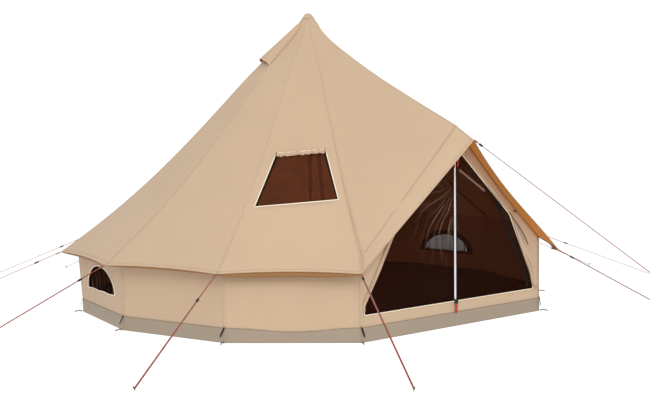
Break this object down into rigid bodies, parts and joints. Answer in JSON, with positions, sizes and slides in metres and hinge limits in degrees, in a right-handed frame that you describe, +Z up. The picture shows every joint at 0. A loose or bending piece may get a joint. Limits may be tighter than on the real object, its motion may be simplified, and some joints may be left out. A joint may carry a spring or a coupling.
{
  "type": "bell tent",
  "caption": "Cotton bell tent with a tipi roof on a centre pole, low upright walls, half-round mesh windows, a ridged front canopy over a mesh door, and guy ropes pegged to the ground.",
  "frame": {"origin": "on the ground under the top of the centre pole", "axes": "+Z up, -Y out of the door"},
  "size_m": [8.3628, 9.702, 3.077],
  "materials": {
    "canvas": "matt woven cotton canvas, sand coloured",
    "skirt": "matt coated cloth, grey-beige",
    "mesh": "fine black insect mesh",
    "groundsheet": "coated groundsheet, dark grey",
    "steel": "zinc-plated tube",
    "rope": "orange-red polyester guy rope with black runners and steel pegs"
  },
  "bodies": {
    "root": {"apex_cap": "canvas", "centre_pole": "steel", "door_leaf_left": "canvas", "door_leaf_right": "canvas", "door_mesh_left": "mesh", "door_mesh_right": "mesh", "door_sill": "canvas", "door_wall_left": "canvas", "door_wall_right": "canvas", "entrance_pole": "steel", "front_canopy": "canvas", "ground_skirt": "skirt", "groundsheet": "groundsheet", "guy_front": "rope", "guy_left_1": "rope", "guy_left_2": "rope", "guy_left_3": "rope", "guy_left_4": "rope", "guy_left_5": "rope", "guy_left_6": "rope", "guy_right_1": "rope", "guy_right_2": "rope", "guy_right_3": "rope", "guy_right_4": "rope", "guy_right_5": "rope", "guy_right_6": "rope", "roof_back": "canvas", "roof_left_1": "canvas", "roof_left_2": "canvas", "roof_left_3": "canvas", "roof_left_4": "canvas", "roof_left_5": "canvas", "roof_right_1": "canvas", "roof_right_2": "canvas", "roof_right_3": "canvas", "roof_right_4": "canvas", "roof_right_5": "canvas", "roof_window_cover_left": "canvas", "roof_window_cover_right": "canvas", "roof_window_mesh_left": "mesh", "roof_window_mesh_right": "mesh", "vent_hood_left": "canvas", "vent_hood_right": "canvas", "wall_back": "canvas", "wall_left_1": "canvas", "wall_left_2": "canvas", "wall_left_3": "canvas", "wall_left_4": "canvas", "wall_left_5": "canvas", "wall_right_1": "canvas", "wall_right_2": "canvas", "wall_right_3": "canvas", "wall_right_4": "canvas", "wall_right_5": "canvas", "window_mesh_back": "mesh", "window_mesh_left": "mesh", "window_mesh_right": "mesh"}
  },
  "joints": []
}
